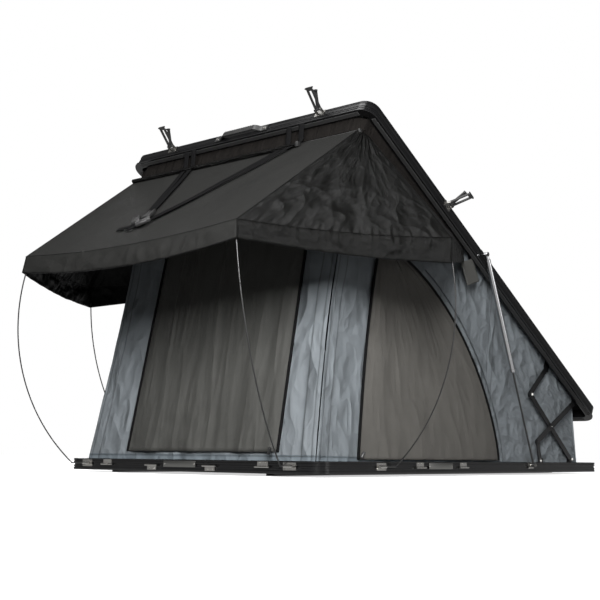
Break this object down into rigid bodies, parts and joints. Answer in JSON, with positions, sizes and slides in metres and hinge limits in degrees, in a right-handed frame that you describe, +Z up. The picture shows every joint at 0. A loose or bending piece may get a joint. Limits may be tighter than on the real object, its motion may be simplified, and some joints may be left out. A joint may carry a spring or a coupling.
{
  "type": "roof top tent",
  "caption": "Wedge-shaped hard-shell roof tent: framed base and tilting lid on scissor links and gas struts, canvas walls, over-centre latches and a rod-held wrap-round awning.",
  "frame": {"origin": "middle of the footprint of the base frame, in the plane of the mounting rails' undersides", "axes": "+Z up, +Y along the tent from the front entrance to the low rear end of the lid, +X to the right seen from the front"},
  "size_m": [1.9118, 2.49, 1.4401],
  "materials": {
    "frame_black": "satin black coated aluminium profile",
    "steel": "brushed stainless",
    "chrome": "polished",
    "plastic_black": "matte black",
    "rubber_black": "matte",
    "foam": "woven cover over foam",
    "panel_black": "smooth faced honeycomb board",
    "panel_grey": "smooth faced honeycomb board",
    "canvas_blue": "woven canvas, blue-grey",
    "canvas_dark": "woven canvas, dark warm grey",
    "awning_grey": "woven canvas, charcoal",
    "webbing": "woven webbing, black",
    "rod_black": "black coated steel wire"
  },
  "bodies": {
    "base": {"base_rail_left": "frame_black", "base_rail_right": "frame_black", "base_rail_front": "frame_black", "base_rail_rear": "frame_black", "base_corners": "frame_black", "floor_panel": "panel_grey", "mounting_rails": "frame_black", "mattress": "foam", "latch_keepers": "steel", "rod_sockets": "steel", "strut_base_brackets": "steel", "link_base_brackets": "steel", "wall_front": "canvas_blue", "wall_rear": "canvas_blue", "wall_left": "canvas_blue", "wall_right": "canvas_blue", "door_front": "canvas_dark", "side_doors": "canvas_dark"},
    "lid": {"lid_rail_left": "frame_black", "lid_rail_right": "frame_black", "lid_rail_front": "frame_black", "lid_rail_rear": "frame_black", "lid_corners": "frame_black", "lid_panel": "panel_black", "lid_seal": "rubber_black", "handle_strap": "plastic_black", "handle_ends": "steel", "latch_plates": "steel", "strut_lid_brackets": "steel", "link_lid_brackets": "steel"},
    "awning": {"awning_batten": "rod_black", "awning_header": "canvas_dark", "awning_top": "awning_grey", "closing_straps": "webbing"},
    "awning_wing_left": {"awning_wing_left": "awning_grey"},
    "awning_wing_right": {"awning_wing_right": "awning_grey"},
    "latch_lever_front_left": {"latch_lever_front_left": "plastic_black"},
    "latch_lever_front_right": {"latch_lever_front_right": "plastic_black"},
    "latch_lever_left": {"latch_lever_left": "plastic_black"},
    "latch_lever_right": {"latch_lever_right": "plastic_black"},
    "latch_hook_front_left": {"latch_hook_front_left": "plastic_black"},
    "latch_hook_front_right": {"latch_hook_front_right": "plastic_black"},
    "latch_hook_left": {"latch_hook_left": "plastic_black"},
    "latch_hook_right": {"latch_hook_right": "plastic_black"},
    "awning_rod_front_left": {"awning_rod_front_left": "rod_black"},
    "awning_rod_front_right": {"awning_rod_front_right": "rod_black"},
    "awning_rod_left": {"awning_rod_left": "rod_black"},
    "awning_rod_right": {"awning_rod_right": "rod_black"},
    "long_arm_left": {"long_arm_left": "frame_black"},
    "long_arm_right": {"long_arm_right": "frame_black"},
    "cross_arm_left": {"cross_arm_left": "frame_black"},
    "cross_arm_right": {"cross_arm_right": "frame_black"},
    "upper_link_left": {"upper_link_left": "frame_black"},
    "upper_link_right": {"upper_link_right": "frame_black"},
    "lower_link_left": {"lower_link_left": "frame_black"},
    "lower_link_right": {"lower_link_right": "frame_black"},
    "strut_rod_left": {"strut_rod_left": "rod_black"},
    "strut_rod_right": {"strut_rod_right": "rod_black"},
    "strut_tube_left": {"strut_tube_left": "chrome"},
    "strut_tube_right": {"strut_tube_right": "chrome"}
  },
  "joints": [
    {"name": "lid_hinge", "type": "hinge", "parent": "base", "child": "lid", "pos_m": [0, 1.42995, 0.17641], "axis": [1, 0, 0], "range_deg": [0, 30], "stiffness_Nm_per_rad": 1000, "springref_deg": -24.81, "deforming": ["wall_front", "wall_rear", "wall_left", "wall_right", "door_front", "side_doors", "awning_top", "awning_wing_left", "awning_wing_right", "awning_header", "closing_straps"]},
    {"name": "long_arm_left", "type": "hinge", "parent": "base", "child": "long_arm_left", "pos_m": [-0.599, 0.873, 0.066], "axis": [1, 0, 0], "range_deg": [0, 35.52]},
    {"name": "cross_arm_left", "type": "hinge", "parent": "long_arm_left", "child": "cross_arm_left", "pos_m": [-0.599, 0.67536, 0.21247], "axis": [1, 0, 0], "range_deg": [-61, 0]},
    {"name": "upper_link_left", "type": "hinge", "parent": "long_arm_left", "child": "upper_link_left", "pos_m": [-0.599, 0.49057, 0.34941], "axis": [1, 0, 0], "range_deg": [-77.33, 0]},
    {"name": "lower_link_left", "type": "hinge", "parent": "base", "child": "lower_link_left", "pos_m": [-0.599, 0.54895, 0.058], "axis": [1, 0, 0], "range_deg": [0, 70.6]},
    {"name": "strut_swing_left", "type": "hinge", "parent": "base", "child": "strut_rod_left", "pos_m": [-0.6585, 0.385, 0.04], "axis": [1, 0, 0], "range_deg": [0, 60.77]},
    {"name": "strut_slide_left", "type": "slide", "parent": "strut_rod_left", "child": "strut_tube_left", "axis": [0, -0.3982, 0.9173], "range_m": [-0.39019, 0]},
    {"name": "long_arm_right", "type": "hinge", "parent": "base", "child": "long_arm_right", "pos_m": [0.599, 0.873, 0.066], "axis": [1, 0, 0], "range_deg": [0, 35.52]},
    {"name": "cross_arm_right", "type": "hinge", "parent": "long_arm_right", "child": "cross_arm_right", "pos_m": [0.599, 0.67536, 0.21247], "axis": [1, 0, 0], "range_deg": [-61, 0]},
    {"name": "upper_link_right", "type": "hinge", "parent": "long_arm_right", "child": "upper_link_right", "pos_m": [0.599, 0.49057, 0.34941], "axis": [1, 0, 0], "range_deg": [-77.33, 0]},
    {"name": "lower_link_right", "type": "hinge", "parent": "base", "child": "lower_link_right", "pos_m": [0.599, 0.54895, 0.058], "axis": [1, 0, 0], "range_deg": [0, 70.6]},
    {"name": "strut_swing_right", "type": "hinge", "parent": "base", "child": "strut_rod_right", "pos_m": [0.6585, 0.385, 0.04], "axis": [1, 0, 0], "range_deg": [0, 60.77]},
    {"name": "strut_slide_right", "type": "slide", "parent": "strut_rod_right", "child": "strut_tube_right", "axis": [0, -0.3982, 0.9173], "range_m": [-0.39019, 0]},
    {"name": "awning_fold", "type": "hinge", "parent": "lid", "child": "awning", "pos_m": [0, -0.76705, 1.305], "axis": [1, 0, 0], "range_deg": [0, 114.31]},
    {"name": "awning_wing_left", "type": "hinge", "parent": "lid", "child": "awning_wing_left", "pos_m": [-0.603, -0.08615, 0.90034], "axis": [0, -0.866, 0.5], "range_deg": [0, 134.51]},
    {"name": "awning_wing_right", "type": "hinge", "parent": "lid", "child": "awning_wing_right", "pos_m": [0.603, -0.08615, 0.90034], "axis": [0, -0.866, 0.5], "range_deg": [-134.51, 0]},
    {"name": "awning_rod_front_left", "type": "hinge", "parent": "base", "child": "awning_rod_front_left", "pos_m": [-0.52, -1.084, 0.034], "axis": [1, 0, 0], "range_deg": [0, 54.01]},
    {"name": "awning_rod_front_right", "type": "hinge", "parent": "base", "child": "awning_rod_front_right", "pos_m": [0.52, -1.084, 0.034], "axis": [1, 0, 0], "range_deg": [0, 54.01]},
    {"name": "awning_rod_left", "type": "hinge", "parent": "base", "child": "awning_rod_left", "pos_m": [-0.654, -0.728, 0.034], "axis": [0, 1, 0], "range_deg": [-54.01, 0]},
    {"name": "awning_rod_right", "type": "hinge", "parent": "base", "child": "awning_rod_right", "pos_m": [0.654, -0.728, 0.034], "axis": [0, 1, 0], "range_deg": [0, 54.01]},
    {"name": "latch_lever_front_left", "type": "hinge", "parent": "lid", "child": "latch_lever_front_left", "pos_m": [-0.4, -0.79121, 1.36514], "axis": [1, 0, 0], "range_deg": [0, 110]},
    {"name": "latch_hook_front_left", "type": "hinge", "parent": "lid", "child": "latch_hook_front_left", "pos_m": [-0.4, -0.79121, 1.36514], "axis": [1, 0, 0], "range_deg": [0, 137]},
    {"name": "latch_lever_front_right", "type": "hinge", "parent": "lid", "child": "latch_lever_front_right", "pos_m": [0.4, -0.79121, 1.36514], "axis": [1, 0, 0], "range_deg": [0, 110]},
    {"name": "latch_hook_front_right", "type": "hinge", "parent": "lid", "child": "latch_hook_front_right", "pos_m": [0.4, -0.79121, 1.36514], "axis": [1, 0, 0], "range_deg": [0, 137]},
    {"name": "latch_lever_left", "type": "hinge", "parent": "lid", "child": "latch_lever_left", "pos_m": [-0.658, -0.26467, 1.06114], "axis": [0, -0.866, 0.5], "range_deg": [0, 110]},
    {"name": "latch_hook_left", "type": "hinge", "parent": "lid", "child": "latch_hook_left", "pos_m": [-0.658, -0.26467, 1.06114], "axis": [0, -0.866, 0.5], "range_deg": [0, 137]},
    {"name": "latch_lever_right", "type": "hinge", "parent": "lid", "child": "latch_lever_right", "pos_m": [0.658, -0.26467, 1.06114], "axis": [0, 0.866, -0.5], "range_deg": [0, 110]},
    {"name": "latch_hook_right", "type": "hinge", "parent": "lid", "child": "latch_hook_right", "pos_m": [0.658, -0.26467, 1.06114], "axis": [0, 0.866, -0.5], "range_deg": [0, 137]}
  ],
  "couplings": [
    {"joint": "long_arm_left", "follows": "lid_hinge", "ratio": 1.1835},
    {"joint": "cross_arm_left", "follows": "lid_hinge", "ratio": -2.0329},
    {"joint": "upper_link_left", "follows": "lid_hinge", "ratio": -2.5774},
    {"joint": "lower_link_left", "follows": "lid_hinge", "ratio": 2.3531},
    {"joint": "strut_swing_left", "follows": "lid_hinge", "ratio": 2.0254},
    {"joint": "strut_slide_left", "follows": "lid_hinge", "m_per_rad": -0.74501},
    {"joint": "long_arm_right", "follows": "lid_hinge", "ratio": 1.1835},
    {"joint": "cross_arm_right", "follows": "lid_hinge", "ratio": -2.0329},
    {"joint": "upper_link_right", "follows": "lid_hinge", "ratio": -2.5774},
    {"joint": "lower_link_right", "follows": "lid_hinge", "ratio": 2.3531},
    {"joint": "strut_swing_right", "follows": "lid_hinge", "ratio": 2.0254},
    {"joint": "strut_slide_right", "follows": "lid_hinge", "m_per_rad": -0.74501},
    {"joint": "awning_fold", "follows": "lid_hinge", "ratio": 3.81},
    {"joint": "awning_wing_left", "follows": "lid_hinge", "ratio": 4.4833},
    {"joint": "awning_wing_right", "follows": "lid_hinge", "ratio": -4.4833},
    {"joint": "awning_rod_front_left", "follows": "lid_hinge", "ratio": 1.8},
    {"joint": "awning_rod_front_right", "follows": "lid_hinge", "ratio": 1.8},
    {"joint": "awning_rod_left", "follows": "lid_hinge", "ratio": -1.8},
    {"joint": "awning_rod_right", "follows": "lid_hinge", "ratio": 1.8}
  ]
}
